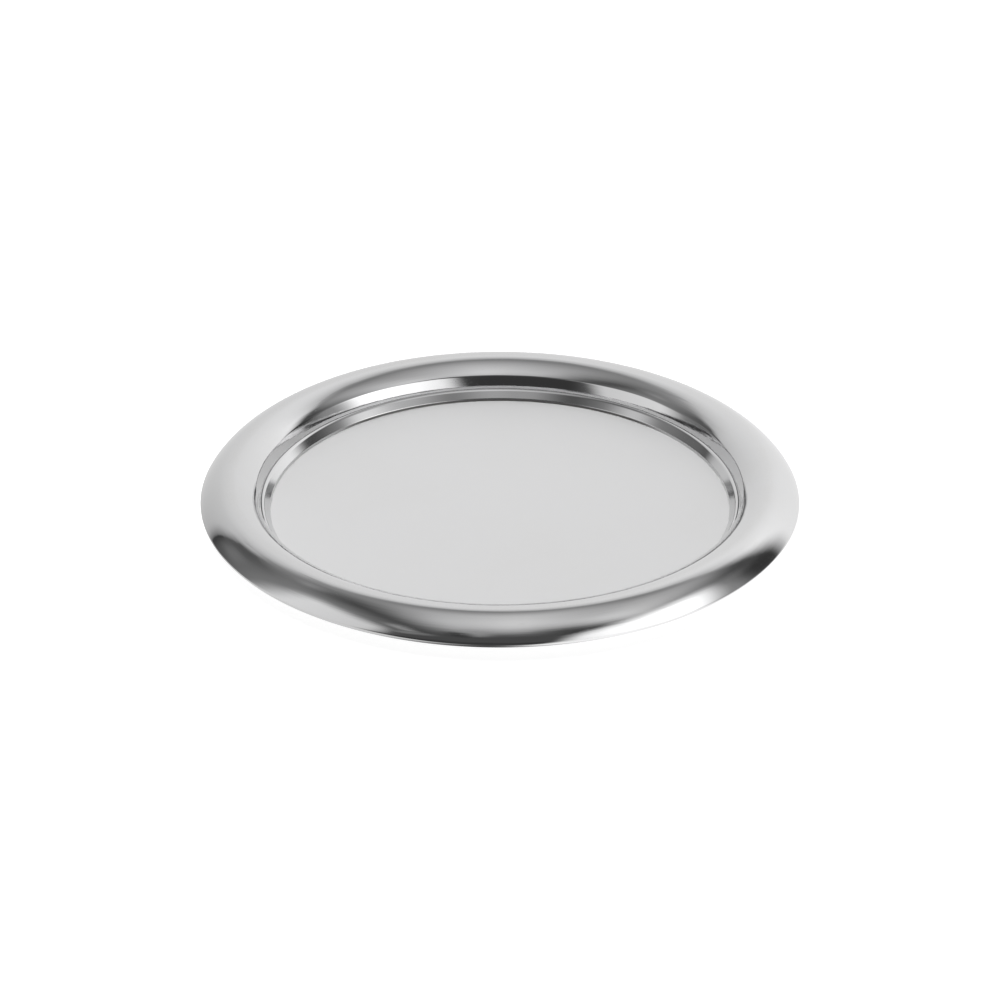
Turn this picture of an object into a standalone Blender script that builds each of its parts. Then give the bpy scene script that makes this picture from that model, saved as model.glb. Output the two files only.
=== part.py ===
"""Round serving tray: a flat floor pan seated in a domed rim ring whose outer edge is rolled round a wire.

Metres, +Z up. The origin is the centre of the foot's underside, on the surface the tray stands on.
Three pieces: floor_pan, rim_ring and edge_wire. Every turned section is drawn in the plane of x and z
and swept once round the z axis.
"""
import math

import bmesh
import bpy

MM = 0.001

# Whole tray
TRAY_DIAMETER = 350.0 * MM
SHEET_THICKNESS = 0.8 * MM
SEAT_GAP = 0.3 * MM
TURN_STEPS = 72
ARC_FLATNESS = 0.06 * MM

# Floor pan: flat floor, small bend, coned step up to the rim's inner wall
STEP_HEIGHT = 6.3 * MM
STEP_SLOPE = math.radians(46.0)
STEP_BEND_RADIUS = 2.0 * MM
PAN_LIP_ROUND = 0.35 * MM

# Rim ring, from its foot under the pan to the rolled edge; the arcs meet tangentially,
# and each slope is where the outward normal stands above the outward horizontal
FOOT_WIDTH = 15.0 * MM
FOOT_BEND_RADIUS = 1.5 * MM
CREST_HEIGHT = 21.3 * MM
SHOULDER_RADIUS = 2.9 * MM
INNER_DOME_RADIUS = 19.2 * MM
CREST_RADIUS = 15.0 * MM
OUTER_DOME_RADIUS = 28.4 * MM
EDGE_ROLL_RADIUS = 2.2 * MM
WALL_SLOPE = math.radians(180.0)
SHOULDER_SLOPE = math.radians(150.0)
INNER_DOME_SLOPE = math.radians(105.0)
CREST_SLOPE = math.radians(60.0)
OUTER_DOME_SLOPE = math.radians(30.0)
EDGE_ROLL_END = math.radians(-240.0)

# Edge wire
WIRE_STEPS = 10

QUARTER_TURN = math.radians(90.0)
FULL_TURN = math.radians(360.0)

# Levels: the foot lies on the table, the pan on the foot
PAN_UNDERSIDE = SHEET_THICKNESS + SEAT_GAP
FLOOR_TOP = PAN_UNDERSIDE + SHEET_THICKNESS
STEP_TOP = FLOOR_TOP + STEP_HEIGHT
CREST_TOP = FLOOR_TOP + CREST_HEIGHT

# Satin floor, polished rim and bare wire, as base colour, roughness and metallic
SATIN_STEEL = ((0.63, 0.63, 0.64, 1.0), 0.30, 1.0)
POLISHED_STEEL = ((0.66, 0.66, 0.67, 1.0), 0.06, 1.0)
WIRE_STEEL = ((0.50, 0.50, 0.51, 1.0), 0.35, 1.0)


def clear_scene():
    for scene_object in list(bpy.data.objects):
        bpy.data.objects.remove(scene_object, do_unlink=True)


def steel(name, finish):
    colour, roughness, metallic = finish
    material = bpy.data.materials.new(name)
    material.use_nodes = True
    shader = material.node_tree.nodes["Principled BSDF"]
    shader.inputs["Base Color"].default_value = colour
    shader.inputs["Roughness"].default_value = roughness
    shader.inputs["Metallic"].default_value = metallic
    material.diffuse_color = colour
    return material


def quarter_turns(start, end):
    """The two end angles and every quarter turn between them, in order."""
    low, high = sorted((start, end))
    first = math.floor(low / QUARTER_TURN) + 1
    last = math.ceil(high / QUARTER_TURN) - 1
    stops = [low] + [i * QUARTER_TURN for i in range(first, last + 1)] + [high]
    return stops if start < end else stops[::-1]


def arc(centre, radius, start, end):
    """Points of an arc about centre (x, z), from one normal angle to another, both ends included.

    The chords stray from the true arc by no more than the flatness, and a point lies on every
    quarter turn, so that a dome's top and a roll's outermost point are on the mesh.
    """
    widest = 2 * math.acos(max(0.0, 1 - ARC_FLATNESS / radius))
    stops = quarter_turns(start, end)
    angles = [start]
    for begin, finish in zip(stops, stops[1:]):
        pieces = math.ceil(abs(finish - begin) / widest)
        angles += [begin + (finish - begin) * i / pieces for i in range(1, pieces + 1)]
    return [(centre[0] + radius * math.cos(a), centre[1] + radius * math.sin(a)) for a in angles]


def join_runs(*runs):
    """One list of points; a run's first point is left out where it repeats the last one's end."""
    points = []
    for run in runs:
        for point in run:
            if points and math.dist(points[-1], point) < SHEET_THICKNESS / 100:
                continue
            points.append(point)
    return points


def dome_arcs():
    """The rim's arcs from the rolled edge to the inner wall, as (centre, radius, start, end).

    The roll is placed so that its outermost point is at the tray's radius. Each next centre lies on
    the normal that the two arcs share, and the whole chain is lifted until its top is the crest.
    """
    chain = [
        (EDGE_ROLL_RADIUS, EDGE_ROLL_END, OUTER_DOME_SLOPE),
        (OUTER_DOME_RADIUS, OUTER_DOME_SLOPE, CREST_SLOPE),
        (CREST_RADIUS, CREST_SLOPE, INNER_DOME_SLOPE),
        (INNER_DOME_RADIUS, INNER_DOME_SLOPE, SHOULDER_SLOPE),
        (SHOULDER_RADIUS, SHOULDER_SLOPE, WALL_SLOPE),
    ]
    x, z = TRAY_DIAMETER / 2 - EDGE_ROLL_RADIUS, 0.0
    centres = [(x, z)]
    for (radius, _, end), (next_radius, _, _) in zip(chain, chain[1:]):
        x += (radius - next_radius) * math.cos(end)
        z += (radius - next_radius) * math.sin(end)
        centres.append((x, z))
    crest_level = centres[2][1] + CREST_RADIUS
    lift = CREST_TOP - crest_level
    return [((cx, cz + lift), radius, start, end)
            for (cx, cz), (radius, start, end) in zip(centres, chain)]


def wall_radius():
    """Radius of the rim's inner wall, which the pan fits into."""
    centre, radius, _, _ = dome_arcs()[-1]
    return centre[0] - radius


def roll_centre():
    return dome_arcs()[0][0]


def pan_outline():
    """Half section of the pan: over the floor, up the step, round its lip and back underneath."""
    lip_x = wall_radius() - SEAT_GAP
    bend_normal = QUARTER_TURN + STEP_SLOPE
    lip_centre = (lip_x - PAN_LIP_ROUND, STEP_TOP - PAN_LIP_ROUND)
    step_end = (lip_centre[0] + PAN_LIP_ROUND * math.cos(bend_normal),
                lip_centre[1] + PAN_LIP_ROUND * math.sin(bend_normal))
    bend_rise = STEP_BEND_RADIUS * (1 - math.cos(STEP_SLOPE))
    cone_rise = step_end[1] - FLOOR_TOP - bend_rise
    bend_x = step_end[0] - cone_rise / math.tan(STEP_SLOPE) - STEP_BEND_RADIUS * math.sin(STEP_SLOPE)
    bend_centre = (bend_x, FLOOR_TOP + STEP_BEND_RADIUS)
    bend_start = -QUARTER_TURN
    bend_end = STEP_SLOPE - QUARTER_TURN
    over = arc(bend_centre, STEP_BEND_RADIUS, bend_start, bend_end)
    lip = arc(lip_centre, PAN_LIP_ROUND, bend_normal, 0.0)
    under_radius = STEP_BEND_RADIUS + SHEET_THICKNESS
    under = arc(bend_centre, under_radius, bend_end, bend_start)
    under_rise = (lip_x - under[0][0]) * math.tan(STEP_SLOPE)
    lip_foot = [(lip_x, under[0][1] + under_rise)]
    return join_runs([(0.0, FLOOR_TOP)], over, lip, lip_foot, under, [(0.0, PAN_UNDERSIDE)])


def ring_skin():
    """Half section of the rim's polished skin: foot, bend, inner wall, over the dome, rolled edge."""
    wall = wall_radius()
    foot_end = [(wall - FOOT_WIDTH, SHEET_THICKNESS)]
    bend_centre = (wall - FOOT_BEND_RADIUS, SHEET_THICKNESS + FOOT_BEND_RADIUS)
    bend = arc(bend_centre, FOOT_BEND_RADIUS, -QUARTER_TURN, 0.0)
    runs = [arc(centre, radius, end, start)
            for centre, radius, start, end in reversed(dome_arcs())]
    return join_runs(foot_end, bend, *runs)


def profile_object(name, points, collection):
    """An open chain of edges in the plane of x and z."""
    mesh = bpy.data.meshes.new(name)
    chain = bmesh.new()
    corners = [chain.verts.new((x, 0.0, z)) for x, z in points]
    for first, second in zip(corners, corners[1:]):
        chain.edges.new((first, second))
    chain.to_mesh(mesh)
    chain.free()
    piece = bpy.data.objects.new(name, mesh)
    collection.objects.link(piece)
    return piece


def turn(piece):
    """Sweeps the profile once round the z axis."""
    screw = piece.modifiers.new("turned", "SCREW")
    screw.axis = "Z"
    screw.angle = FULL_TURN
    screw.steps = TURN_STEPS
    screw.render_steps = TURN_STEPS
    screw.use_merge_vertices = True
    screw.merge_threshold = SEAT_GAP / 10
    screw.use_smooth_shade = True


def make_floor_pan(collection, material):
    pan = profile_object("floor_pan", pan_outline(), collection)
    turn(pan)
    pan.data.materials.append(material)
    return pan


def make_rim_ring(collection, material):
    ring = profile_object("rim_ring", ring_skin(), collection)
    turn(ring)
    sheet = ring.modifiers.new("sheet", "SOLIDIFY")
    sheet.thickness = SHEET_THICKNESS
    sheet.offset = -1.0
    sheet.use_even_offset = True
    ring.data.materials.append(material)
    return ring


def make_edge_wire(collection, material):
    """Round wire caught inside the rolled edge."""
    centre_x, centre_z = roll_centre()
    wire_radius = EDGE_ROLL_RADIUS - SHEET_THICKNESS - SEAT_GAP
    bpy.ops.mesh.primitive_torus_add(
        major_radius=centre_x, minor_radius=wire_radius,
        major_segments=TURN_STEPS, minor_segments=WIRE_STEPS,
        location=(0.0, 0.0, centre_z))
    wire = bpy.context.object
    wire.name = "edge_wire"
    wire.data.name = "edge_wire"
    for other in list(wire.users_collection):
        other.objects.unlink(wire)
    collection.objects.link(wire)
    wire.data.shade_smooth()
    wire.data.materials.append(material)
    return wire


def main():
    clear_scene()
    tray = bpy.data.collections.new("round_serving_tray")
    bpy.context.scene.collection.children.link(tray)
    make_floor_pan(tray, steel("satin_steel", SATIN_STEEL))
    make_rim_ring(tray, steel("polished_steel", POLISHED_STEEL))
    make_edge_wire(tray, steel("wire_steel", WIRE_STEEL))


main()
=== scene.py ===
"""Looks of the round serving tray: fine turned sheets of steel, their finishes, and the studio they mirror.

Metres, +Z up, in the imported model's own frame. Each solid is replaced by a finer turned surface, because a
mirror finish shows every facet. The rim's outside is that of the solids within 0.2 mm, and the pan's heights are
theirs. In the well the wall and the step lean more than in the solids, up to 1.4 mm at the pan's lip, as the
photograph's reflections ask.
"""
import math

import bpy
import numpy as np
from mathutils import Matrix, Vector


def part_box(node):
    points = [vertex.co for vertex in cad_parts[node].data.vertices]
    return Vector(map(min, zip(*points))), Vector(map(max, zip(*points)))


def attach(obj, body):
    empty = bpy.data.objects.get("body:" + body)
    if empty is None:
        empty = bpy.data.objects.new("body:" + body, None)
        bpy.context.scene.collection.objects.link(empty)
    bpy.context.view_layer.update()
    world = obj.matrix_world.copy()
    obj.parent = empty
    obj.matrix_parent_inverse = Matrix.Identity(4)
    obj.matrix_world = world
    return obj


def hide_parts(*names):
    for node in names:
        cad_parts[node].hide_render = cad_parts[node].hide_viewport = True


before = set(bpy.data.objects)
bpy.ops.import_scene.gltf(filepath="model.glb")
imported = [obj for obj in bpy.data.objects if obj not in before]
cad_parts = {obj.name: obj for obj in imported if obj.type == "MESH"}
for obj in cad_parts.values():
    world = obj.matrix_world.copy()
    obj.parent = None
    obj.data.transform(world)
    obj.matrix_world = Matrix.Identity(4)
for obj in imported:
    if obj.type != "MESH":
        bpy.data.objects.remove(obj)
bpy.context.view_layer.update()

MM = 0.001
QUARTER_TURN = math.pi / 2
HALF_TURN = math.pi
FULL_TURN = 2 * math.pi

# Sizes read from the solids
RIM_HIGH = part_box("rim_ring")[1]
PAN_LOW, PAN_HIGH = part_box("floor_pan")
WIRE_LOW, WIRE_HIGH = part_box("edge_wire")
TRAY_RADIUS = RIM_HIGH.x
CREST_TOP = RIM_HIGH.z
LIP_RADIUS = PAN_HIGH.x
STEP_TOP = PAN_HIGH.z
PAN_UNDERSIDE = PAN_LOW.z
WIRE_RADIUS = (WIRE_HIGH.z - WIRE_LOW.z) / 2

# Sheet and section
SHEET = 0.8 * MM
FLOOR_TOP = PAN_UNDERSIDE + SHEET
STEP_SLOPE = math.radians(51.5)
STEP_BROW_SLOPE = math.radians(14.0)
STEP_BROW_RADIUS = 2.6 * MM
RISER_SLOPE = math.radians(82.0)
RISER_HEIGHT = 1.7 * MM
RISER_BEND_RADIUS = 0.3 * MM
SEAT_GAP = 0.12 * MM
PAN_LIP_ROUND = 0.35 * MM
FOOT_RADIUS = LIP_RADIUS - 14.7 * MM
FOOT_BEND_RADIUS = 1.5 * MM
SHOULDER_RADIUS = 3.0 * MM
INNER_DOME_RADIUS = 22.5 * MM
CREST_RADIUS = 14.3 * MM
OUTER_DOME_RADIUS = 28.4 * MM
EDGE_ROLL_RADIUS = 2.2 * MM
WALL_FOOT_SLOPE = math.radians(164.5)
WALL_TOP_SLOPE = math.radians(157.0)
SHOULDER_SLOPE = math.radians(138.0)
INNER_DOME_SLOPE = math.radians(105.0)
CREST_SLOPE = math.radians(60.0)
OUTER_DOME_SLOPE = math.radians(30.0)
EDGE_ROLL_END = math.radians(-240.0)

# Fineness of the turned surfaces
TURN_STEPS = 360
ARC_STEP = math.radians(2.5)
TIGHT_ARC_STEP = math.radians(6.0)
TIGHT_RADIUS = 3.0 * MM
GUARD = 0.25 * MM
SHEET_EDGE_STEPS = 6
SHEET_EDGE_SQUARENESS = 0.6
SHEET_EDGE_REACH = SHEET / 4
WIRE_STEPS = 24

# Camera, fitted to the photograph
CAMERA_ELEVATION = math.radians(28.55)
CAMERA_DISTANCE = 2.2005
LENS = 135.0
SENSOR = 36.0
PHOTO_SIZE = 1000
FLOOR_CENTRE_PIXEL = (499.85, 504.95)

# Steel
CLEAN_STEEL = (0.645, 0.645, 0.65, 1.0)
HANDLED_STEEL = (0.61, 0.605, 0.60, 1.0)
SATIN_STEEL = (0.70, 0.70, 0.703, 1.0)
DULL_SATIN = (0.665, 0.662, 0.657, 1.0)
DRAWN_STEEL = (0.50, 0.50, 0.505, 1.0)
DULL_WIRE = (0.36, 0.355, 0.35, 1.0)
MATT_ROUGHNESS = 0.50
MATT_METAL = 0.35
STEP_ROUGHNESS = 0.07
# Painted shade: a dark colour for the corner at the foot of the pan's step, faded from the back to the front
PAINTED_CORNER_SHADE = (0.14, 0.138, 0.135, 1.0)
CORNER_SHADE_FADE = (84.0 * MM, 108.0 * MM)
CORNER_SHADE_FRONT_SHARE = 0.12
CORNER_TOP = 0.1 * MM
CORNER_DEPTH = 0.3 * MM
POLISH_START = 0.02 * MM
POLISH_FULL = 0.2 * MM
MIRROR_ROUGHNESS = 0.03
WIRE_ROUGHNESS = 0.22

# Wear: how wide each rubbed band is, and the noise that breaks it up
CREST_WEAR = 0.4 * MM
EDGE_WEAR = 0.35 * MM
FOOT_WEAR = 0.3 * MM
LIP_WEAR = 0.3 * MM
WEAR_GRAIN = 900.0
WEAR_BREAK = (0.35, 0.6)

# Surface detail, as bump depths, and the noise behind it
WAVE_DEPTH = 0.10 * MM
WAVE_SCALE = 42.0
SPUN_DEPTH = 0.03 * MM
POLISH_LINE_DEPTH = 0.0004 * MM
MIRROR_SCRATCH_DEPTH = 0.001 * MM
GRAIN_DEPTH = 0.002 * MM
STEP_LINE_DEPTH = 0.0006 * MM
SCRATCH_DEPTH = 0.002 * MM
WIRE_LINE_DEPTH = 0.002 * MM
BAND_SHARE = 0.12
HAIRLINE_STRETCH = 30.0
HAIRLINE_LAYERS = ((0.5, (0.0, 0.0, 0.0)), (2.1, (3.7, 1.3, 5.1)), (1.2, (8.3, 2.9, 0.7)))
HAIRLINE_PATCHES = (0.52, 0.68)
SMUDGE_PATCHES = (0.42, 0.72)
MOTTLE_FINENESS = 9.0
MOTTLE_RANGE = (0.2, 0.8, 0.5, 1.0)


# Sections

def arc(centre, radius, start, end):
    """Points and outward normal angles of an arc: centre plus radius times (cos a, sin a), a from start to end."""
    step = TIGHT_ARC_STEP if radius < TIGHT_RADIUS else ARC_STEP
    count = max(2, math.ceil(abs(end - start) / step)) + 1
    angle = np.linspace(start, end, count)
    points = np.stack([centre[0] + radius * np.cos(angle), centre[1] + radius * np.sin(angle)], axis=1)
    return points, angle


def straight(first, last, angle):
    """Two ends of a straight run and a guard point close to each, so that its shading stays straight."""
    first, last = np.array(first), np.array(last)
    along = (last - first) / np.linalg.norm(last - first)
    points = np.stack([first, first + along * GUARD, last - along * GUARD, last])
    return points, np.full(len(points), angle)


def join_runs(runs):
    """One array of points and one of normal angles; a point that repeats the one before it is left out."""
    points = np.concatenate([run[0] for run in runs])
    angles = np.concatenate([run[1] for run in runs])
    gaps = np.hypot(*np.diff(points, axis=0).T)
    keep = np.concatenate([[True], gaps > GUARD / 100])
    return points[keep], angles[keep]


def dome_arcs():
    """The rim's arcs from the rolled edge to the inner wall, as (centre, radius, start, end).

    Each centre lies on the normal that two arcs share; the roll touches the tray's radius and the crest
    its top. The roll stops short by the reach of its rounded sheet edge. The wall's arc is as flat as it
    takes to come down to the pan's lip.
    """
    chain = [
        (EDGE_ROLL_RADIUS, EDGE_ROLL_END + SHEET_EDGE_REACH / EDGE_ROLL_RADIUS, OUTER_DOME_SLOPE),
        (OUTER_DOME_RADIUS, OUTER_DOME_SLOPE, CREST_SLOPE),
        (CREST_RADIUS, CREST_SLOPE, INNER_DOME_SLOPE),
        (INNER_DOME_RADIUS, INNER_DOME_SLOPE, SHOULDER_SLOPE),
        (SHOULDER_RADIUS, SHOULDER_SLOPE, WALL_TOP_SLOPE),
    ]
    x, z = TRAY_RADIUS - EDGE_ROLL_RADIUS, 0.0
    centres = [(x, z)]
    for (radius, _, end), (next_radius, _, _) in zip(chain, chain[1:]):
        x += (radius - next_radius) * math.cos(end)
        z += (radius - next_radius) * math.sin(end)
        centres.append((x, z))
    lift = CREST_TOP - (centres[2][1] + CREST_RADIUS)
    arcs = [((cx, cz + lift), radius, start, end)
            for (cx, cz), (radius, start, end) in zip(centres, chain)]
    (cx, cz), radius, _, end = arcs[-1]
    fall = cz + radius * math.sin(end) - STEP_TOP
    wall_radius = fall / (math.sin(end) - math.sin(WALL_FOOT_SLOPE))
    cx += (radius - wall_radius) * math.cos(end)
    cz += (radius - wall_radius) * math.sin(end)
    return arcs + [((cx, cz), wall_radius, end, WALL_FOOT_SLOPE)]


def sheet_edge(point, angle, forward):
    """The rounded cut edge of a sheet, from its outer skin round to its back.

    Half a superellipse: the normal's share is |cos t| to the squareness and the edge's own share is
    |sin t| to the squareness, t from 0 to a half turn. forward is +1 at the skin's end and -1 at its start.
    """
    t = np.linspace(0.0, HALF_TURN, SHEET_EDGE_STEPS + 2)[1:-1]
    normal = np.array([math.cos(angle), math.sin(angle)])
    along = forward * np.array([normal[1], -normal[0]])
    half = SHEET / 2
    across = np.sign(np.cos(t)) * np.abs(np.cos(t)) ** SHEET_EDGE_SQUARENESS
    out = np.abs(np.sin(t)) ** SHEET_EDGE_SQUARENESS
    middle = point - normal * half
    return middle + half * across[:, None] * normal + SHEET_EDGE_REACH * out[:, None] * along


def closed_sheet(points, angles):
    """Closed section of a sheet and how far each point is its back: skin, end's edge, back, start's edge."""
    normals = np.stack([np.cos(angles), np.sin(angles)], axis=1)
    back = points - SHEET * normals
    end = sheet_edge(points[-1], angles[-1], 1)
    start = sheet_edge(points[0], angles[0], -1)[::-1]
    section = np.concatenate([points, end, back[::-1], start])
    is_back = np.concatenate([np.zeros(len(points)), np.full(len(end), 0.5), np.ones(len(back)),
                              np.full(len(start), 0.5)])
    return section, is_back


def wall_radius_at_lip():
    """Radius of the inner wall where its arc ends at the pan's lip: its centre plus its radius times cos a."""
    centre, radius, _, end = dome_arcs()[-1]
    return centre[0] + radius * math.cos(end)


def rim_section():
    """The rim: foot, bend, up to the pan's lip, sloping wall, over the dome and round the rolled edge."""
    arcs = dome_arcs()
    wall = wall_radius_at_lip()
    bend_centre = (wall - FOOT_BEND_RADIUS, SHEET + FOOT_BEND_RADIUS)
    bend_points, bend_angles = arc(bend_centre, FOOT_BEND_RADIUS, -QUARTER_TURN, 0.0)
    foot_start = (FOOT_RADIUS + SHEET_EDGE_REACH, SHEET)
    runs = [
        straight(foot_start, bend_points[0], QUARTER_TURN),
        (bend_points, bend_angles + HALF_TURN),
        straight(bend_points[-1], (wall, STEP_TOP - GUARD), HALF_TURN),
    ]
    runs += [arc(centre, radius, end, start) for centre, radius, start, end in reversed(arcs)]
    return closed_sheet(*join_runs(runs))


def pan_section():
    """The pan, from the axis over its floor, up its riser and step, round its lip and back underneath.

    The step's parts are worked down from the lip: its brow, its slope, a short steep riser and the bend
    into the floor. The underside follows them a sheet's thickness away.
    """
    lip_radius = wall_radius_at_lip() - SEAT_GAP
    lip_centre = (lip_radius - PAN_LIP_ROUND, STEP_TOP - PAN_LIP_ROUND)
    brow_normal, slope_normal = QUARTER_TURN + STEP_BROW_SLOPE, QUARTER_TURN + STEP_SLOPE
    lip = arc(lip_centre, PAN_LIP_ROUND, brow_normal, 0.0)
    reach = PAN_LIP_ROUND - STEP_BROW_RADIUS
    brow_centre = (lip_centre[0] + reach * math.cos(brow_normal), lip_centre[1] + reach * math.sin(brow_normal))
    brow = arc(brow_centre, STEP_BROW_RADIUS, slope_normal, brow_normal)
    riser_top = FLOOR_TOP + RISER_HEIGHT
    slope_fall = brow[0][0][1] - riser_top
    slope_foot = brow[0][0] - np.array([slope_fall / math.tan(STEP_SLOPE), slope_fall])
    bend_rise = RISER_BEND_RADIUS * (1 - math.cos(RISER_SLOPE))
    riser_fall = RISER_HEIGHT - bend_rise
    riser_foot = slope_foot - np.array([riser_fall / math.tan(RISER_SLOPE), riser_fall])
    bend_centre = riser_foot + RISER_BEND_RADIUS * np.array([-math.sin(RISER_SLOPE), math.cos(RISER_SLOPE)])
    bend = arc(bend_centre, RISER_BEND_RADIUS, -QUARTER_TURN, RISER_SLOPE - QUARTER_TURN)
    brow_under = arc(brow_centre, STEP_BROW_RADIUS - SHEET, brow_normal, slope_normal)
    under_foot = brow_under[0][-1] - np.array([1.0, math.tan(STEP_SLOPE)]) * (
        (brow_under[0][-1][1] - PAN_UNDERSIDE) / math.tan(STEP_SLOPE))
    show = [
        straight((0.0, FLOOR_TOP), bend[0][0], 0.0),
        bend,
        straight(bend[0][-1], slope_foot, 0.0),
        straight(slope_foot, brow[0][0], 0.0),
        brow,
        lip,
        straight(lip[0][-1], (lip_radius, brow_under[0][0][1]), 0.0),
    ]
    hidden = [
        brow_under,
        straight(brow_under[0][-1], under_foot, 0.0),
        straight(under_foot, (0.0, PAN_UNDERSIDE), 0.0),
    ]
    points, _ = join_runs(show + hidden)
    turning = len(join_runs(show)[0])
    return points, (np.arange(len(points)) >= turning).astype(float)


def wire_section():
    """The wire in the roll, a circle."""
    angle = np.linspace(FULL_TURN, 0.0, WIRE_STEPS, endpoint=False)
    centre = (WIRE_HIGH.x - WIRE_RADIUS, (WIRE_HIGH.z + WIRE_LOW.z) / 2)
    section = np.stack([centre[0] + WIRE_RADIUS * np.cos(angle), centre[1] + WIRE_RADIUS * np.sin(angle)], axis=1)
    return section, np.zeros(WIRE_STEPS)


# Turned surfaces

def turned_mesh(name, section, is_back, closed):
    """Turns a section once round the z axis: a point (r, z) goes to (r cos u, r sin u, z), u over a full turn.

    A closed section makes a ring. An open one starts and ends on the axis, where each end is one vertex
    with a fan of triangles. Each vertex keeps its distance along the section and whether it is on the back.
    """
    turn = np.linspace(0.0, FULL_TURN, TURN_STEPS, endpoint=False)
    run = np.concatenate([[0.0], np.cumsum(np.hypot(*np.diff(section, axis=0).T))])
    inner = slice(None) if closed else slice(1, -1)
    ring, ring_run, ring_back = section[inner], run[inner], is_back[inner]
    count = len(ring)
    x = np.outer(np.cos(turn), ring[:, 0])
    y = np.outer(np.sin(turn), ring[:, 0])
    z = np.broadcast_to(ring[:, 1], x.shape)
    vertices = np.stack([x, y, z], axis=-1).reshape(-1, 3)
    runs, backs = np.tile(ring_run, TURN_STEPS), np.tile(ring_back, TURN_STEPS)
    here = np.arange(TURN_STEPS)[:, None] * count
    there = (np.arange(TURN_STEPS)[:, None] + 1) % TURN_STEPS * count
    low = np.arange(count if closed else count - 1)[None, :]
    high = (low + 1) % count
    faces = np.stack([here + low, here + high, there + high, there + low], axis=-1).reshape(-1, 4).tolist()
    if not closed:
        first, last = len(vertices), len(vertices) + 1
        vertices = np.concatenate([vertices, [[0.0, 0.0, section[0, 1]], [0.0, 0.0, section[-1, 1]]]])
        runs, backs = np.append(runs, run[[0, -1]]), np.append(backs, is_back[[0, -1]])
        start = np.stack([np.full(TURN_STEPS, first), here[:, 0], there[:, 0]], axis=-1)
        end = np.stack([np.full(TURN_STEPS, last), there[:, 0] + count - 1, here[:, 0] + count - 1], axis=-1)
        faces += start.tolist() + end.tolist()
    mesh = bpy.data.meshes.new(name)
    mesh.from_pydata(vertices, [], faces)
    mesh.attributes.new("run", "FLOAT", "POINT").data.foreach_set("value", runs.astype(np.float32))
    mesh.attributes.new("back", "FLOAT", "POINT").data.foreach_set("value", backs.astype(np.float32))
    mesh.shade_smooth()
    return mesh


def add_piece(name, mesh, solid, material):
    """Puts a mesh in the scene in place of its solid, fixed to the tray's one body."""
    piece = bpy.data.objects.new(name, mesh)
    bpy.context.scene.collection.objects.link(piece)
    mesh.materials.append(material)
    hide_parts(solid)
    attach(piece, "root")


# Node helpers

def add_node(tree, kind, inputs=None, **settings):
    """A shader node with its settings; an input given as a socket is linked, and any other is its value."""
    made = tree.nodes.new("ShaderNode" + kind)
    for key, value in settings.items():
        setattr(made, key, value)
    for key, value in (inputs or {}).items():
        if isinstance(value, bpy.types.NodeSocket):
            tree.links.new(value, made.inputs[key])
        else:
            made.inputs[key].default_value = value
    return made


def maths(tree, operation, *values):
    """One Math node; each value is a number or a socket."""
    return add_node(tree, "Math", dict(enumerate(values)), operation=operation).outputs[0]


def ramp(tree, value, start, full, low=0.0, high=1.0):
    """Smooth step of a value from low at start to high at full."""
    inputs = {"Value": value, "From Min": start, "From Max": full, "To Min": low, "To Max": high}
    return add_node(tree, "MapRange", inputs, interpolation_type="SMOOTHSTEP").outputs["Result"]


def weigh(tree, base, *parts):
    """A base value plus each part, a value and its weight."""
    total = base
    for value, weight in parts:
        total = maths(tree, "MULTIPLY_ADD", value, weight, total)
    return total


def blend_colours(tree, clean, worn, share):
    """The clean colour, mixed towards the worn one by the share."""
    return add_node(tree, "Mix", {0: share, 6: clean, 7: worn}, data_type="RGBA").outputs[2]


def new_group(name, inputs, outputs):
    """An empty shader group; inputs and outputs are the names of its float sockets."""
    group = bpy.data.node_groups.new(name, "ShaderNodeTree")
    for socket in inputs:
        group.interface.new_socket(socket, in_out="INPUT", socket_type="NodeSocketFloat")
    for socket in outputs:
        group.interface.new_socket(socket, in_out="OUTPUT", socket_type="NodeSocketFloat")
    return group, group.nodes.new("NodeGroupInput").outputs, group.nodes.new("NodeGroupOutput").inputs


def use_group(tree, group, **values):
    """Places a group in a material; each value goes to the input of the same name."""
    made = add_node(tree, "Group", node_tree=group)
    for key, value in values.items():
        socket = made.inputs[key.replace("_", " ").title()]
        if isinstance(value, bpy.types.NodeSocket):
            tree.links.new(value, socket)
        else:
            socket.default_value = value
    return made.outputs


# Finishes

def make_places_group():
    """Where a point lies on the tray: distance from the axis, y, z, and whether it is on a sheet's back."""
    group, _, out = new_group("places_on_tray", [], ["Radius", "Depth", "Height", "Back"])
    object_place = add_node(group, "TexCoord").outputs["Object"]
    flat = add_node(group, "VectorMath", {0: object_place, 1: (1.0, 1.0, 0.0)}, operation="MULTIPLY").outputs[0]
    length = add_node(group, "VectorMath", {0: flat}, operation="LENGTH").outputs["Value"]
    group.links.new(length, out["Radius"])
    place = add_node(group, "SeparateXYZ", {0: object_place}).outputs
    group.links.new(place["Y"], out["Depth"])
    group.links.new(place["Z"], out["Height"])
    group.links.new(add_node(group, "Attribute", attribute_name="back").outputs["Fac"], out["Back"])
    return group


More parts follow.
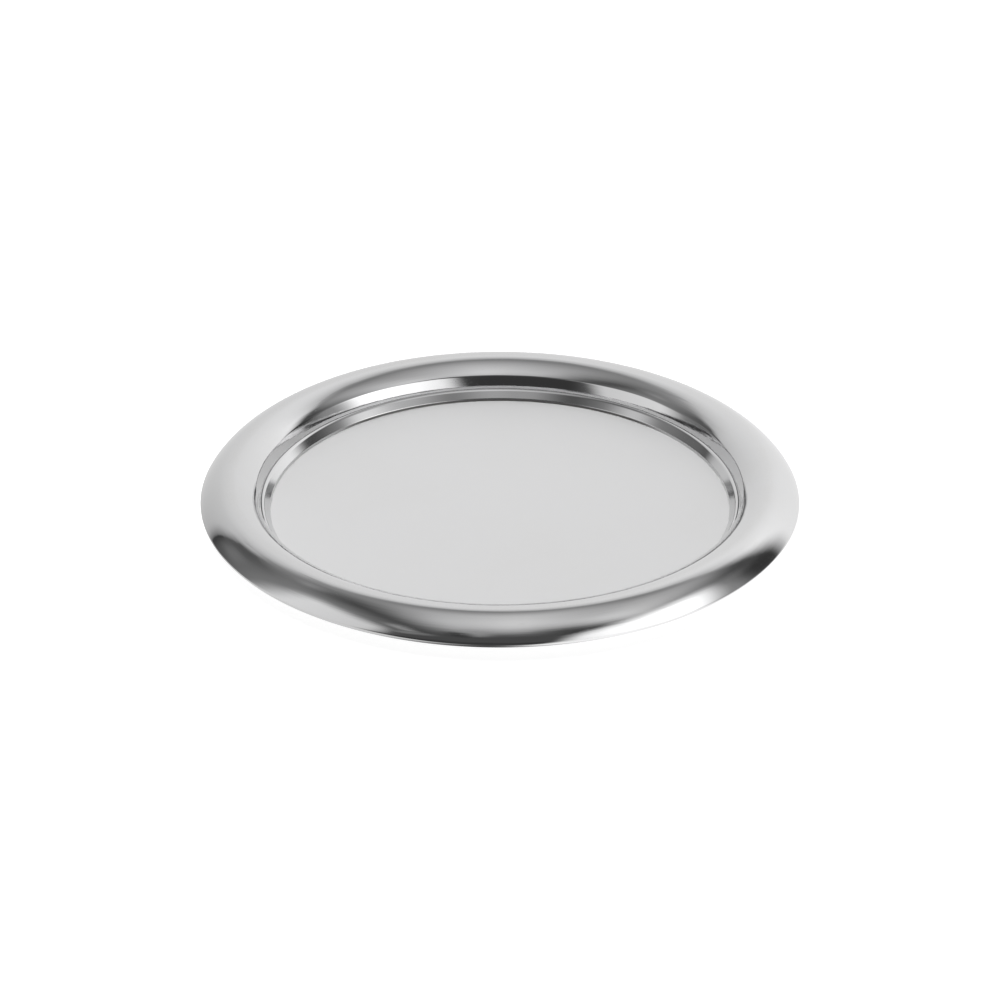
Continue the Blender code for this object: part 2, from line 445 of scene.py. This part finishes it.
def make_polishing_group():
    """Fine lines left by a polishing wheel on a turning part: noise drawn out along the turn."""
    group, given, out = new_group("polishing_lines", ["Lines Per Metre", "Drift"], ["Lines", "Bands"])
    run = add_node(group, "Attribute", attribute_name="run").outputs["Fac"]
    place = add_node(group, "SeparateXYZ", {0: add_node(group, "TexCoord").outputs["Object"]}).outputs
    x, y = (maths(group, "MULTIPLY", place[axis], given["Drift"]) for axis in ("X", "Y"))
    fine = maths(group, "MULTIPLY", run, given["Lines Per Metre"])
    broad = maths(group, "MULTIPLY", fine, BAND_SHARE)
    for along, socket, detail in ((fine, "Lines", 3.0), (broad, "Bands", 2.0)):
        vector = add_node(group, "CombineXYZ", {"X": along, "Y": x, "Z": y}).outputs[0]
        noise = add_node(group, "TexNoise", {"Vector": vector, "Scale": 1.0, "Detail": detail, "Roughness": 0.6})
        group.links.new(noise.outputs["Fac"], out[socket])
    return group


def make_hairline_group():
    """Thin scratches in three directions: narrow bands of long stretched noise, kept in patches."""
    group, given, out = new_group("hairline_scratches", ["Scale", "Width", "Patches"], ["Scratches"])
    place = add_node(group, "TexCoord").outputs["Object"]
    scratches = None
    for turn, shift in HAIRLINE_LAYERS:
        turned = add_node(group, "Mapping", {"Vector": place, "Location": shift, "Rotation": (0.0, 0.0, turn),
                                             "Scale": (1.0, HAIRLINE_STRETCH, 1.0)}, vector_type="TEXTURE").outputs[0]
        noise = add_node(group, "TexNoise", {"Vector": turned, "Scale": given["Scale"], "Detail": 1.0})
        off = maths(group, "ABSOLUTE", maths(group, "SUBTRACT", noise.outputs["Fac"], 0.5))
        line = ramp(group, off, given["Width"], 0.0)
        area = add_node(group, "TexNoise", {"Vector": turned, "Scale": given["Patches"], "Detail": 3.0})
        line = maths(group, "MULTIPLY", line, ramp(group, area.outputs["Fac"], *HAIRLINE_PATCHES))
        scratches = line if scratches is None else maths(group, "MAXIMUM", scratches, line)
    group.links.new(scratches, out["Scratches"])
    return group


def make_handling_group():
    """Faint smudges where the tray is held and wiped: soft patches with a finer mottle in them."""
    group, given, out = new_group("handling", ["Scale"], ["Smudges"])
    place = add_node(group, "TexCoord").outputs["Object"]
    soft = add_node(group, "TexNoise", {"Vector": place, "Scale": given["Scale"], "Detail": 2.0,
                                        "Distortion": 0.6}).outputs["Fac"]
    finer = maths(group, "MULTIPLY", given["Scale"], MOTTLE_FINENESS)
    mottle = add_node(group, "TexNoise", {"Vector": place, "Scale": finer, "Detail": 4.0}).outputs["Fac"]
    mixed = maths(group, "MULTIPLY", ramp(group, soft, *SMUDGE_PATCHES), ramp(group, mottle, *MOTTLE_RANGE))
    group.links.new(mixed, out["Smudges"])
    return group


def make_wear_group():
    """Rubbing on an edge: a smooth step from where it starts to where it is full, broken up by noise."""
    group, given, out = new_group("edge_wear", ["Place", "Start", "Full"], ["Wear"])
    place = add_node(group, "TexCoord").outputs["Object"]
    noise = add_node(group, "TexNoise", {"Vector": place, "Scale": WEAR_GRAIN, "Detail": 4.0}).outputs["Fac"]
    edge = ramp(group, given["Place"], given["Start"], given["Full"])
    group.links.new(maths(group, "MULTIPLY", edge, ramp(group, noise, *WEAR_BREAK)), out["Wear"])
    return group


def make_grain_group():
    """Fine even grain of a blasted satin finish, without direction."""
    group, given, out = new_group("satin_grain", ["Scale"], ["Grain"])
    place = add_node(group, "TexCoord").outputs["Object"]
    noise = add_node(group, "TexNoise", {"Vector": place, "Scale": given["Scale"], "Detail": 3.0,
                                         "Roughness": 0.65})
    group.links.new(noise.outputs["Fac"], out["Grain"])
    return group


def new_steel(name):
    """A material whose shader is plain metal, with its tree and shader."""
    material = bpy.data.materials.new(name)
    material.use_nodes = True
    shader = material.node_tree.nodes["Principled BSDF"]
    shader.inputs["Metallic"].default_value = 1.0
    return material, material.node_tree, shader


def add_bumps(tree, shader, *layers):
    """Bump nodes in a row, each a height and its depth in metres, sunk where inverted; the last feeds the shader."""
    normal = None
    for height, depth, sunk in layers:
        inputs = {"Height": height, "Distance": depth, "Strength": 1.0}
        if normal is not None:
            inputs["Normal"] = normal
        normal = add_node(tree, "Bump", inputs, invert=sunk).outputs[0]
    tree.links.new(normal, shader.inputs["Normal"])


def make_polished_steel(groups):
    """The rim: mirror polish with spun and polishing lines, faint waves, scratches and rubbed edges; dull behind."""
    material, tree, shader = new_steel("mirror_polish")
    places = use_group(tree, groups["places"])
    lines = use_group(tree, groups["polishing"], lines_per_metre=3200.0, drift=14.0)
    scratches = use_group(tree, groups["hairlines"], scale=420.0, width=0.012, patches=26.0)["Scratches"]
    smudges = use_group(tree, groups["handling"], scale=16.0)["Smudges"]
    crest = use_group(tree, groups["wear"], place=places["Height"], start=CREST_TOP - CREST_WEAR,
                      full=CREST_TOP)["Wear"]
    edge = use_group(tree, groups["wear"], place=places["Radius"], start=TRAY_RADIUS - EDGE_WEAR,
                     full=TRAY_RADIUS)["Wear"]
    foot = use_group(tree, groups["wear"], place=places["Height"], start=FOOT_WEAR, full=0.0)["Wear"]
    wear = maths(tree, "MAXIMUM", maths(tree, "MAXIMUM", crest, edge), foot)
    roughness = weigh(tree, MIRROR_ROUGHNESS, (lines["Bands"], 0.03), (smudges, 0.035), (scratches, 0.12),
                      (wear, 0.06), (places["Back"], 0.22))
    tree.links.new(roughness, shader.inputs["Roughness"])
    share = weigh(tree, 0.0, (smudges, 0.35), (wear, 0.3), (places["Back"], 0.5))
    tree.links.new(blend_colours(tree, CLEAN_STEEL, HANDLED_STEEL, share), shader.inputs["Base Color"])
    spun = use_group(tree, groups["polishing"], lines_per_metre=420.0, drift=16.0)["Lines"]
    waves = add_node(tree, "TexNoise", {"Vector": add_node(tree, "TexCoord").outputs["Object"], "Scale": WAVE_SCALE,
                                        "Detail": 1.0}).outputs["Fac"]
    add_bumps(tree, shader, (waves, WAVE_DEPTH, False), (spun, SPUN_DEPTH, False),
              (lines["Bands"], POLISH_LINE_DEPTH, False), (lines["Lines"], POLISH_LINE_DEPTH, False),
              (scratches, MIRROR_SCRATCH_DEPTH, True))
    return material


def make_satin_steel(groups):
    """The pan: a fine matt finish on its floor, and its step and lip polished as the rim is.

    The corner at the foot of the step is painted darker, a painted shade for the crease there, strongest at
    the back and fading towards the front; it is rougher there too.
    """
    material, tree, shader = new_steel("satin_finish")
    places = use_group(tree, groups["places"])
    grain = use_group(tree, groups["grain"], scale=3600.0)["Grain"]
    lines = use_group(tree, groups["polishing"], lines_per_metre=2600.0, drift=30.0)
    scratches = use_group(tree, groups["hairlines"], scale=300.0, width=0.012, patches=18.0)["Scratches"]
    smudges = use_group(tree, groups["handling"], scale=12.0)["Smudges"]
    lip = use_group(tree, groups["wear"], place=places["Height"], start=STEP_TOP - LIP_WEAR, full=STEP_TOP)["Wear"]
    polished = ramp(tree, places["Height"], FLOOR_TOP + POLISH_START, FLOOR_TOP + POLISH_FULL)
    riser_top = FLOOR_TOP + RISER_HEIGHT
    # Painted shade in the crease at the foot of the step: this mask darkens the colour there, most at the back
    corner = ramp(tree, places["Height"], riser_top + CORNER_TOP, riser_top - CORNER_DEPTH)
    corner = maths(tree, "MULTIPLY", corner, polished)
    corner_shade_at_back = ramp(tree, places["Depth"], *CORNER_SHADE_FADE, CORNER_SHADE_FRONT_SHARE, 1.0)
    corner = maths(tree, "MULTIPLY", corner, corner_shade_at_back)
    matt = maths(tree, "SUBTRACT", 1.0, polished)
    satin = weigh(tree, MATT_ROUGHNESS, (grain, 0.08), (lines["Bands"], 0.03), (smudges, -0.03),
                  (scratches, -0.06), (places["Back"], 0.06))
    bright = weigh(tree, STEP_ROUGHNESS, (lines["Bands"], 0.05), (smudges, 0.03), (lip, 0.05), (corner, 0.2))
    roughness = maths(tree, "MULTIPLY_ADD", satin, matt, maths(tree, "MULTIPLY", bright, polished))
    tree.links.new(roughness, shader.inputs["Roughness"])
    tree.links.new(weigh(tree, MATT_METAL, (polished, 1.0 - MATT_METAL)), shader.inputs["Metallic"])
    share = weigh(tree, 0.0, (smudges, 0.3), (scratches, 0.3), (places["Back"], 0.5))
    floor_colour = blend_colours(tree, SATIN_STEEL, DULL_SATIN, share)
    # Painted shade: the step's colour is darkened towards the corner colour in the crease
    shaded_step_colour = blend_colours(tree, CLEAN_STEEL, PAINTED_CORNER_SHADE, corner)
    colour = add_node(tree, "Mix", {0: polished, 6: floor_colour, 7: shaded_step_colour}, data_type="RGBA").outputs[2]
    tree.links.new(colour, shader.inputs["Base Color"])
    add_bumps(tree, shader, (maths(tree, "MULTIPLY", grain, matt), GRAIN_DEPTH, False),
              (maths(tree, "MULTIPLY", lines["Lines"], polished), STEP_LINE_DEPTH, False),
              (scratches, SCRATCH_DEPTH, True))
    return material


def make_wire_steel(groups):
    """The wire: plain drawn steel, duller, with lines along its turn."""
    material, tree, shader = new_steel("drawn_wire_finish")
    lines = use_group(tree, groups["polishing"], lines_per_metre=5200.0, drift=5.0)
    scratches = use_group(tree, groups["hairlines"], scale=500.0, width=0.02, patches=60.0)["Scratches"]
    smudges = use_group(tree, groups["handling"], scale=60.0)["Smudges"]
    roughness = weigh(tree, WIRE_ROUGHNESS, (lines["Lines"], 0.16), (smudges, 0.12), (scratches, 0.1))
    tree.links.new(roughness, shader.inputs["Roughness"])
    share = weigh(tree, 0.0, (lines["Bands"], 0.5), (smudges, 0.5))
    tree.links.new(blend_colours(tree, DRAWN_STEEL, DULL_WIRE, share), shader.inputs["Base Color"])
    add_bumps(tree, shader, (lines["Lines"], WIRE_LINE_DEPTH, False), (scratches, SCRATCH_DEPTH, True))
    return material


def make_tray():
    """The three pieces with their finishes; the shader groups are built once for all of them."""
    groups = {
        "places": make_places_group(),
        "polishing": make_polishing_group(),
        "hairlines": make_hairline_group(),
        "handling": make_handling_group(),
        "wear": make_wear_group(),
        "grain": make_grain_group(),
    }
    add_piece("floor_sheet", turned_mesh("floor_sheet", *pan_section(), closed=False), "floor_pan",
              make_satin_steel(groups))
    add_piece("rim_sheet", turned_mesh("rim_sheet", *rim_section(), closed=True), "rim_ring",
              make_polished_steel(groups))
    add_piece("bead_wire", turned_mesh("bead_wire", *wire_section(), closed=True), "edge_wire",
              make_wire_steel(groups))


# Studio

# A panel's edge fades from clear to full over this many fade widths to each side of it
PANEL_FADE = 3.6
PANEL_FOOT = -5.0


def make_panel_group():
    """Soft-edged mask of a panel: four smooth steps over its UV map, which is in metres from its own zero.

    Both sides lean to the left with height by the lean, as the edges of a tilted softbox do.
    """
    group, given, out = new_group("soft_panel", ["Left", "Right", "Bottom", "Top", "Side Fade", "End Fade", "Lean"],
                                  ["Mask"])
    place = add_node(group, "SeparateXYZ", {0: add_node(group, "TexCoord").outputs["UV"]}).outputs
    across = maths(group, "MULTIPLY_ADD", place["Y"], given["Lean"], place["X"])
    mask = None
    for along, edge, fade, way in ((across, "Left", "Side Fade", 1), (across, "Right", "Side Fade", -1),
                                   (place["Y"], "Bottom", "End Fade", 1), (place["Y"], "Top", "End Fade", -1)):
        inside = maths(group, "MULTIPLY", maths(group, "SUBTRACT", along, given[edge]), way)
        step = ramp(group, maths(group, "DIVIDE", inside, given[fade]), -PANEL_FADE, PANEL_FADE)
        mask = step if mask is None else maths(group, "MULTIPLY", mask, step)
    group.links.new(mask, out["Mask"])
    return group


def add_panel(group, name, zero, across, rise, sides, ends, fades, level, slopes=(0.0, 0.0), lean=0.0):
    """A glowing panel that the steel mirrors and the camera doesn't see.

    A point is zero plus U times across plus V times rise. It glows by level times one plus each slope
    times U and V, and fades out softly over its four edges.
    """
    zero, across, rise = Vector(zero), Vector(across), Vector(rise)
    side_room, end_room = fades[0] * PANEL_FADE, fades[1] * PANEL_FADE
    low, high = ends[0] - end_room, ends[1] + end_room
    corners = [(sides[0] - side_room - lean * low, low), (sides[1] + side_room - lean * low, low),
               (sides[1] + side_room - lean * high, high), (sides[0] - side_room - lean * high, high)]
    mesh = bpy.data.meshes.new(name)
    mesh.from_pydata([zero + across * u + rise * v for u, v in corners], [], [(0, 1, 2, 3)])
    mesh.uv_layers.new(name="UVMap").data.foreach_set("uv", np.array(corners, dtype=np.float32).ravel())
    material = bpy.data.materials.new(name)
    material.use_nodes = True
    tree = material.node_tree
    tree.nodes.clear()
    mask = use_group(tree, group, left=sides[0], right=sides[1], bottom=ends[0], top=ends[1],
                     side_fade=fades[0], end_fade=fades[1], lean=lean)["Mask"]
    place = add_node(tree, "SeparateXYZ", {0: add_node(tree, "TexCoord").outputs["UV"]}).outputs
    brightness = weigh(tree, 1.0, (place["X"], slopes[0]), (place["Y"], slopes[1]))
    brightness = maths(tree, "MAXIMUM", brightness, 0.0)
    glow = add_node(tree, "Emission", {"Color": brightness, "Strength": level}).outputs[0]
    clear = add_node(tree, "BsdfTransparent").outputs[0]
    surface = add_node(tree, "MixShader", {0: mask, 1: clear, 2: glow}).outputs[0]
    add_node(tree, "OutputMaterial", {"Surface": surface})
    mesh.materials.append(material)
    panel = bpy.data.objects.new(name, mesh)
    bpy.context.scene.collection.objects.link(panel)
    panel.visible_camera = False
    panel.visible_diffuse = False
    panel.visible_shadow = False


def add_ceiling_panel(group, name, height, sides, ends, fades, level, slopes=(0.0, 0.0)):
    """A level panel: sides are its reach in x and ends its reach in y."""
    add_panel(group, name, (0.0, 0.0, height), (1.0, 0.0, 0.0), (0.0, 1.0, 0.0), sides, ends, fades, level, slopes)


def add_standing_panel(group, name, bearing, distance, sides, top, fades, level, slopes=(0.0, 0.0),
                       bottom=PANEL_FOOT, lean=0.0):
    """An upright panel, square to its bearing in degrees from +Y towards +X; sides run right as the tray sees it."""
    bearing = math.radians(bearing)
    out = Vector((math.sin(bearing), math.cos(bearing), 0.0))
    across = Vector((out.y, -out.x, 0.0))
    add_panel(group, name, out * distance, across, (0.0, 0.0, 1.0), sides, (bottom, top), fades, level, slopes,
              lean)


def make_studio():
    """Panels and dark flags round and over the tray, as the photograph's steel mirrors them.

    Most of their places, sizes and levels were fitted to those reflections and rounded to 0.01.
    """
    group = make_panel_group()
    add_ceiling_panel(group, "corner_light", height=1.71, sides=(-1.48, -0.63), ends=(0.63, 2.10),
                      fades=(0.26, 0.25), level=0.72)
    add_ceiling_panel(group, "side_strip", height=1.88, sides=(-1.55, -1.27), ends=(-2.04, -1.35),
                      fades=(0.05, 0.05), level=0.39)
    add_standing_panel(group, "backdrop", bearing=7.0, distance=1.05, sides=(-1.92, 1.43), top=1.64,
                       fades=(0.10, 0.23), level=0.95, slopes=(0.20, 0.10))
    add_ceiling_panel(group, "overhead", height=1.90, sides=(-0.80, 0.46), ends=(-1.32, 0.90), fades=(0.12, 0.25),
                      level=0.68, slopes=(0.41, -0.39))
    add_ceiling_panel(group, "overhead_right", height=1.79, sides=(0.67, 1.42), ends=(-1.05, 0.96),
                      fades=(0.30, 0.13), level=0.86, slopes=(0.22, -0.74))
    add_standing_panel(group, "left_panel", bearing=-94.0, distance=2.12, sides=(-1.68, 0.20), top=1.89,
                       fades=(0.10, 0.12), level=1.02, slopes=(0.10, 0.0), lean=0.15)
    add_standing_panel(group, "right_panel", bearing=114.5, distance=1.33, sides=(-0.15, 1.44), top=1.12,
                       fades=(0.09, 0.08), level=2.06, slopes=(-0.38, 0.0), lean=0.30)
    add_standing_panel(group, "right_wall", bearing=100.0, distance=2.06, sides=(-0.67, 0.60), top=1.88,
                       fades=(0.15, 0.12), level=0.38)
    add_standing_panel(group, "left_back_wall", bearing=-49.0, distance=2.30, sides=(-0.58, 0.62), top=2.29,
                       fades=(0.22, 0.04), level=0.13)
    add_standing_panel(group, "left_wall", bearing=-98.0, distance=2.56, sides=(-1.72, 1.22), top=3.10,
                       fades=(0.35, 0.30), level=0.30)
    add_standing_panel(group, "right_flag", bearing=90.0, distance=1.90, sides=(-1.30, -0.30), top=0.86,
                       fades=(0.07, 0.07), level=0.05, bottom=0.10)
    add_standing_panel(group, "left_flag", bearing=-90.0, distance=1.90, sides=(1.19, 1.60), top=0.60,
                       fades=(0.05, 0.05), level=0.04, bottom=-0.30)
    add_standing_panel(group, "left_low_card", bearing=-90.0, distance=1.85, sides=(0.54, 1.02), top=0.87,
                       fades=(0.06, 0.06), level=0.22, bottom=0.29)
    add_standing_panel(group, "left_high_card", bearing=-90.0, distance=1.80, sides=(1.16, 1.60), top=1.82,
                       fades=(0.05, 0.06), level=0.50, bottom=1.33)
    add_ceiling_panel(group, "front_card", height=1.70, sides=(-0.38, -0.16), ends=(-1.87, -1.20),
                      fades=(0.06, 0.06), level=0.42)
    add_ceiling_panel(group, "front_strip", height=1.70, sides=(-1.71, -1.03), ends=(-2.16, -1.96),
                      fades=(0.06, 0.06), level=0.34)
    add_ceiling_panel(group, "front_flag_left", height=1.65, sides=(-0.63, -0.41), ends=(-2.01, -1.49),
                      fades=(0.05, 0.06), level=0.04)
    add_ceiling_panel(group, "front_flag_right", height=1.65, sides=(0.89, 1.50), ends=(-1.95, -1.49),
                      fades=(0.05, 0.04), level=0.06)
    add_standing_panel(group, "camera_flag", bearing=180.0, distance=2.00, sides=(-0.62, 1.60), top=0.95,
                       fades=(0.10, 0.06), level=0.05, bottom=-0.10)
    add_ceiling_panel(group, "back_streak", height=1.60, sides=(-0.76, -0.74), ends=(0.70, 1.18),
                      fades=(0.03, 0.06), level=0.31)
    add_ceiling_panel(group, "right_table_sheen", height=-0.10, sides=(0.05, 0.45), ends=(-0.45, 0.10),
                      fades=(0.02, 0.02), level=1.40)
    add_ceiling_panel(group, "left_table_sheen", height=-0.10, sides=(-0.45, -0.09), ends=(-0.45, 0.10),
                      fades=(0.02, 0.02), level=0.90)
    add_ceiling_panel(group, "left_streak", height=1.60, sides=(-1.42, -1.07), ends=(0.24, 0.49),
                      fades=(0.05, 0.04), level=0.34)


TOP_LIGHT_SIZE = 1.8
TOP_LIGHT_PLACE = (-0.35, 0.45, 2.1)
TOP_LIGHT_POWER = 48.0


def make_top_light():
    """A large soft lamp overhead for the matt surfaces; the steel mirrors the panels, not this."""
    lamp = bpy.data.lights.new("top_light", "AREA")
    lamp.shape = "DISK"
    lamp.size = TOP_LIGHT_SIZE
    lamp.energy = TOP_LIGHT_POWER
    light = bpy.data.objects.new("top_light", lamp)
    light.location = TOP_LIGHT_PLACE
    light.rotation_euler = (-light.location).to_track_quat("-Z", "Y").to_euler()
    light.visible_glossy = False
    bpy.context.scene.collection.objects.link(light)


FLOOR_REACH = 5.0
FLOOR_COLOUR = (0.50, 0.50, 0.50, 1.0)
FLOOR_LIFT = 0.88


def make_floor():
    """A pale matt floor. The camera sees it lifted to white, with the tray's soft shadow kept."""
    mesh = bpy.data.meshes.new("floor")
    reach = FLOOR_REACH
    mesh.from_pydata([(-reach, -reach, 0.0), (reach, -reach, 0.0), (reach, reach, 0.0), (-reach, reach, 0.0)],
                     [], [(0, 1, 2, 3)])
    material = bpy.data.materials.new("floor")
    material.use_nodes = True
    tree = material.node_tree
    tree.nodes.clear()
    matt = add_node(tree, "BsdfDiffuse", {"Color": FLOOR_COLOUR}).outputs[0]
    lift = add_node(tree, "Emission", {"Color": add_node(tree, "LightPath").outputs["Is Camera Ray"],
                                       "Strength": FLOOR_LIFT}).outputs[0]
    surface = add_node(tree, "AddShader", {0: matt, 1: lift}).outputs[0]
    add_node(tree, "OutputMaterial", {"Surface": surface})
    mesh.materials.append(material)
    floor = bpy.data.objects.new("floor", mesh)
    bpy.context.scene.collection.objects.link(floor)
    floor.visible_glossy = False


STUDIO_DARK = 0.09


def make_world():
    """White to the camera, and the dim room beyond the panels to everything else."""
    world = bpy.data.worlds.new("studio")
    bpy.context.scene.world = world
    world.use_nodes = True
    tree = world.node_tree
    tree.nodes.clear()
    camera_ray = add_node(tree, "LightPath").outputs["Is Camera Ray"]
    level = ramp(tree, camera_ray, 0.0, 1.0, STUDIO_DARK, 1.0)
    glow = add_node(tree, "Background", {"Color": level}).outputs[0]
    add_node(tree, "OutputWorld", {"Surface": glow})


def make_camera():
    """Long lens at the photograph's elevation; it aims a little off the floor's centre, as the picture does."""
    back = Vector((0.0, -math.cos(CAMERA_ELEVATION), math.sin(CAMERA_ELEVATION)))
    up = Vector((0.0, math.sin(CAMERA_ELEVATION), math.cos(CAMERA_ELEVATION)))
    right = Vector((1.0, 0.0, 0.0))
    centre = Vector((0.0, 0.0, FLOOR_TOP))
    pixel = CAMERA_DISTANCE * SENSOR / LENS / PHOTO_SIZE
    aim = centre + up * ((FLOOR_CENTRE_PIXEL[1] - PHOTO_SIZE / 2) * pixel)
    aim += right * ((PHOTO_SIZE / 2 - FLOOR_CENTRE_PIXEL[0]) * pixel)
    camera = bpy.data.objects.new("camera", bpy.data.cameras.new("camera"))
    bpy.context.scene.collection.objects.link(camera)
    camera.data.lens = LENS
    camera.data.sensor_width = SENSOR
    camera.location = centre + back * CAMERA_DISTANCE
    camera.rotation_euler = (aim - camera.location).to_track_quat("-Z", "Y").to_euler()
    bpy.context.scene.camera = camera


make_tray()
make_studio()
make_top_light()
make_floor()
make_world()
make_camera()
bpy.context.scene.view_settings.view_transform = "Standard"
